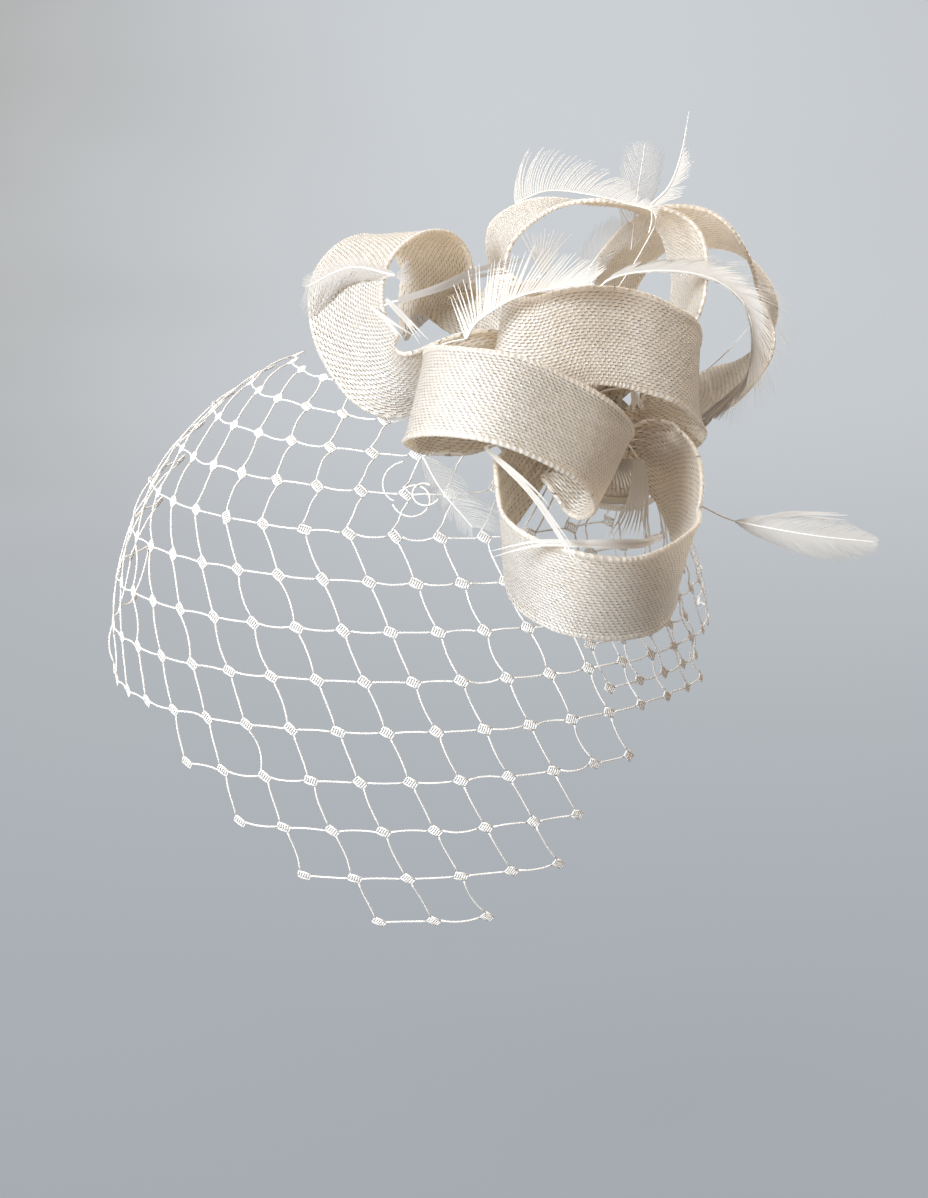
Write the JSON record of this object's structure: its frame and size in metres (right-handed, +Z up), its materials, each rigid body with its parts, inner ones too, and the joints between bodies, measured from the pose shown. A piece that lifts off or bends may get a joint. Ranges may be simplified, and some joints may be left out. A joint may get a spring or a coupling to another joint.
{
  "type": "fascinator headpiece",
  "caption": "Looped woven bands and feathers on a small comb-held base, with an open net veil shaped round the head and face.",
  "frame": {"origin": "middle of the comb's flat underside, where it lies on the hair", "axes": "+Z up as worn on an upright head, -Y the way the wearer faces, +X the side that the headpiece sits on; the longest extent is along Z and the shortest along Y"},
  "size_m": [0.2597, 0.2189, 0.2665],
  "materials": {
    "sinamay": "woven straw cloth, satin",
    "net": "starched open net",
    "feather": "soft feather",
    "lining_cloth": "plain weave lining",
    "binding_cloth": "bias strip, plain weave",
    "comb_plastic": "translucent moulded plastic",
    "thread": "sewing thread"
  },
  "bodies": {
    "root": {"base_binding": "binding_cloth", "base_disc": "sinamay", "base_lining": "lining_cloth", "comb_lashing_left": "thread", "comb_lashing_right": "thread", "feather_back_fan": "feather", "feather_back_leaf": "feather", "feather_collar": "thread", "feather_crest": "feather", "feather_curled_quill": "feather", "feather_face_leaf": "feather", "feather_front_fan": "feather", "feather_hanging_strand": "feather", "feather_inner_leaf": "feather", "feather_inner_strand": "feather", "feather_left_leaf": "feather", "feather_left_spike_long": "feather", "feather_left_spike_short": "feather", "feather_level_biot": "feather", "feather_split_biot": "feather", "feather_sweep": "feather", "feather_thin_quill": "feather", "hair_comb": "comb_plastic", "loop_back": "sinamay", "loop_back_right": "sinamay", "loop_front": "sinamay", "loop_left": "sinamay", "loop_lower": "sinamay", "loop_upper": "sinamay", "veil_crown": "net", "veil_heading": "thread"},
    "veil_front": {"veil_front": "net"},
    "flag_feather": {"feather_flag": "feather"},
    "upright_feather": {"feather_upright": "feather"}
  },
  "joints": [
    {"name": "veil_lift", "type": "hinge", "parent": "root", "child": "veil_front", "pos_m": [-0.135, 0.025, -0.002], "axis": [-0.7792, 0.3217, 0.5379], "range_deg": [0, 35], "stiffness_Nm_per_rad": 0.004},
    {"name": "flag_feather_nod", "type": "hinge", "parent": "root", "child": "flag_feather", "pos_m": [0.034, -0.01, -0.018], "axis": [0.6181, 0.7861, 0], "range_deg": [-10, 10], "stiffness_Nm_per_rad": 0.004},
    {"name": "upright_feather_sway", "type": "hinge", "parent": "root", "child": "upright_feather", "pos_m": [0.031, 0.016, 0.075], "axis": [0, 1, 0], "range_deg": [-10, 10], "stiffness_Nm_per_rad": 0.004}
  ]
}
